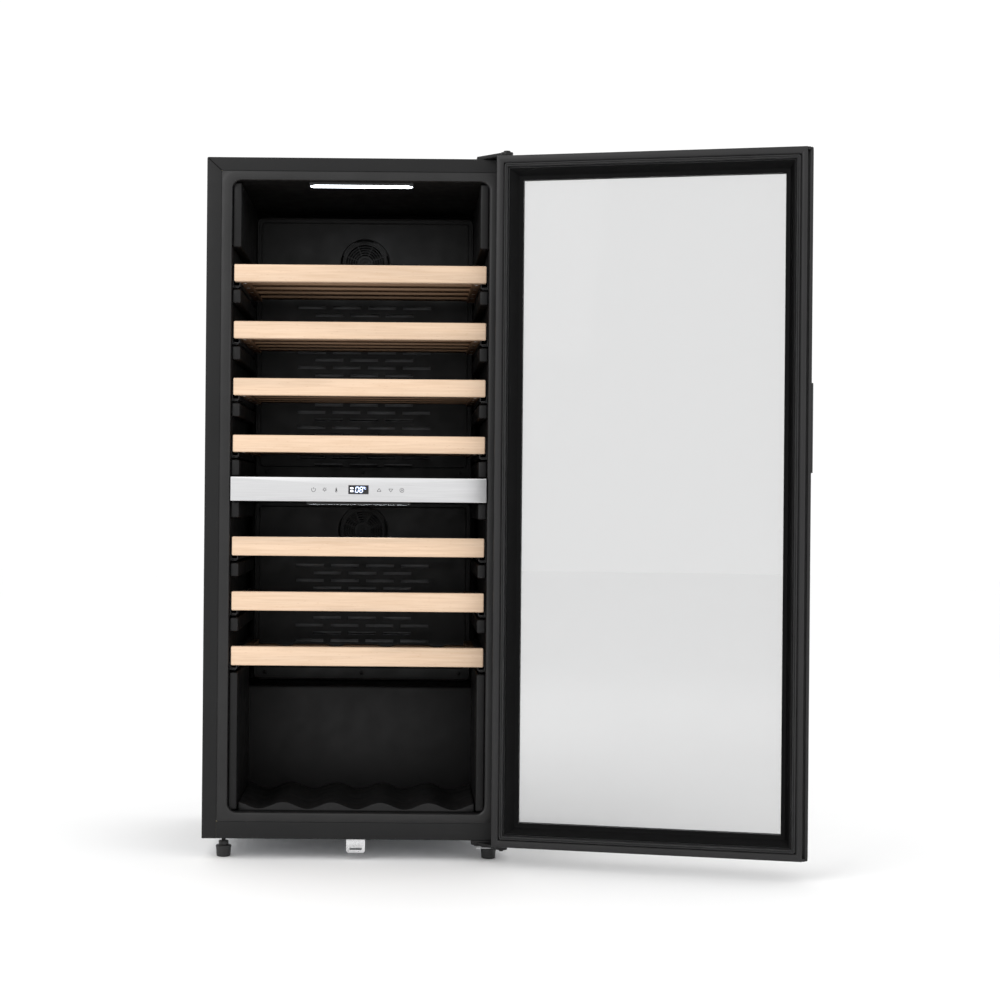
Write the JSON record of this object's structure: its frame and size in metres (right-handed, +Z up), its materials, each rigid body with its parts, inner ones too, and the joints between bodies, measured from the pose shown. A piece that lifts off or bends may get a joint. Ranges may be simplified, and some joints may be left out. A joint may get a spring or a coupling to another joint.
{
  "type": "wine cooler",
  "caption": "Free-standing wine cooler with a glazed side-hinged door, pull-out wooden shelves, a control fascia between its zones and a wire condenser at the back.",
  "frame": {"origin": "bottom centre of the whole object's box, on the floor, with the door at rest in its open position", "axes": "+Z up; -Y is the cabinet's front, which faces the user; +X towards the hinge side"},
  "size_m": [1.0722, 0.6724, 1.274],
  "materials": {
    "casing_black": "satin",
    "back_sheet": "satin",
    "galvanised_sheet": "satin",
    "liner_black": "satin",
    "foam": "matte",
    "fascia_steel": "satin",
    "display_black": "gloss",
    "black_plastic": "matte",
    "board_green": "satin",
    "lens_white": "satin",
    "bare_aluminium": "satin",
    "slide_steel": "satin",
    "door_black": "satin",
    "seal_rubber": "matte",
    "tinted_glass": "gloss",
    "nylon": "satin",
    "handle_black": "satin",
    "hinge_steel": "satin",
    "zinc": "satin",
    "foot_plastic": "matte",
    "compressor_black": "gloss",
    "copper": "satin",
    "beech": "satin"
  },
  "bodies": {
    "cabinet": {"outer_casing": "casing_black", "bottom_rail": "casing_black", "base_pan": "galvanised_sheet", "back_panel": "back_sheet", "inner_liner": "liner_black", "foam_insulation": "foam", "shelf_ledges": "liner_black", "zone_divider": "liner_black", "divider_core": "foam", "control_fascia": "fascia_steel", "display_window": "display_black", "control_housing": "black_plastic", "control_board": "board_green", "light_housings": "liner_black", "light_lenses": "lens_white", "upper_duct_cover": "liner_black", "lower_duct_cover": "liner_black", "fan_frames": "black_plastic", "evaporator_plates": "bare_aluminium", "fixed_slides": "slide_steel", "floor_cradle": "liner_black", "top_hinge": "hinge_steel", "bottom_hinge": "hinge_steel", "hinge_screws": "zinc", "foot_sockets": "nylon", "lock_strike": "zinc", "compressor_base": "galvanised_sheet", "compressor_mounts": "seal_rubber", "compressor": "compressor_black", "start_box": "black_plastic", "filter_dryer": "copper", "refrigerant_pipes": "copper", "drip_tray": "black_plastic", "rear_grille": "back_sheet", "mains_inlet": "black_plastic", "rear_screws": "zinc", "condenser_coil": "compressor_black", "condenser_wires": "compressor_black", "condenser_clips": "black_plastic"},
    "door": {"door_frame": "door_black", "door_inner_trim": "liner_black", "door_gasket": "seal_rubber", "door_outer_glass": "tinted_glass", "door_inner_glass": "tinted_glass", "glass_spacer": "bare_aluminium", "door_bushes": "nylon", "door_handle": "handle_black"},
    "shelf_1_body": {"shelf_1": "beech"},
    "shelf_2_body": {"shelf_2": "beech"},
    "shelf_3_body": {"shelf_3": "beech"},
    "shelf_4_body": {"shelf_4": "beech"},
    "shelf_5_body": {"shelf_5": "beech"},
    "shelf_6_body": {"shelf_6": "beech"},
    "shelf_7_body": {"shelf_7": "beech"},
    "upper_fan": {"upper_fan_rotor": "black_plastic"},
    "lower_fan": {"lower_fan_rotor": "black_plastic"},
    "foot_front_left_body": {"foot_front_left": "foot_plastic"},
    "foot_front_right_body": {"foot_front_right": "foot_plastic"},
    "foot_rear_left_body": {"foot_rear_left": "foot_plastic"},
    "foot_rear_right_body": {"foot_rear_right": "foot_plastic"}
  },
  "joints": [
    {"name": "door_swing", "type": "hinge", "parent": "cabinet", "child": "door", "pos_m": [0.00189, -0.19593, 0.6325], "axis": [0, 0, 1], "range_deg": [-167.5, 0]},
    {"name": "shelf_1_slide", "type": "slide", "parent": "cabinet", "child": "shelf_1_body", "axis": [0, -1, 0], "range_m": [0, 0.24]},
    {"name": "shelf_2_slide", "type": "slide", "parent": "cabinet", "child": "shelf_2_body", "axis": [0, -1, 0], "range_m": [0, 0.24]},
    {"name": "shelf_3_slide", "type": "slide", "parent": "cabinet", "child": "shelf_3_body", "axis": [0, -1, 0], "range_m": [0, 0.24]},
    {"name": "shelf_4_slide", "type": "slide", "parent": "cabinet", "child": "shelf_4_body", "axis": [0, -1, 0], "range_m": [0, 0.24]},
    {"name": "shelf_5_slide", "type": "slide", "parent": "cabinet", "child": "shelf_5_body", "axis": [0, -1, 0], "range_m": [0, 0.24]},
    {"name": "shelf_6_slide", "type": "slide", "parent": "cabinet", "child": "shelf_6_body", "axis": [0, -1, 0], "range_m": [0, 0.24]},
    {"name": "shelf_7_slide", "type": "slide", "parent": "cabinet", "child": "shelf_7_body", "axis": [0, -1, 0], "range_m": [0, 0.24]},
    {"name": "upper_fan_spin", "type": "hinge", "parent": "cabinet", "child": "upper_fan", "pos_m": [-0.25861, 0.23407, 1.122], "axis": [0, 1, 0], "continuous": true},
    {"name": "lower_fan_spin", "type": "hinge", "parent": "cabinet", "child": "lower_fan", "pos_m": [-0.25861, 0.23407, 0.588], "axis": [0, 1, 0], "continuous": true},
    {"name": "foot_front_left_screw", "type": "hinge", "parent": "cabinet", "child": "foot_front_left_body", "pos_m": [-0.49951, -0.12793, 0.02], "axis": [0, 0, 1], "continuous": true},
    {"name": "foot_front_right_screw", "type": "hinge", "parent": "cabinet", "child": "foot_front_right_body", "pos_m": [-0.01771, -0.12793, 0.02], "axis": [0, 0, 1], "continuous": true},
    {"name": "foot_rear_left_screw", "type": "hinge", "parent": "cabinet", "child": "foot_rear_left_body", "pos_m": [-0.49951, 0.28407, 0.02], "axis": [0, 0, 1], "continuous": true},
    {"name": "foot_rear_right_screw", "type": "hinge", "parent": "cabinet", "child": "foot_rear_right_body", "pos_m": [-0.01771, 0.28407, 0.02], "axis": [0, 0, 1], "continuous": true}
  ]
}
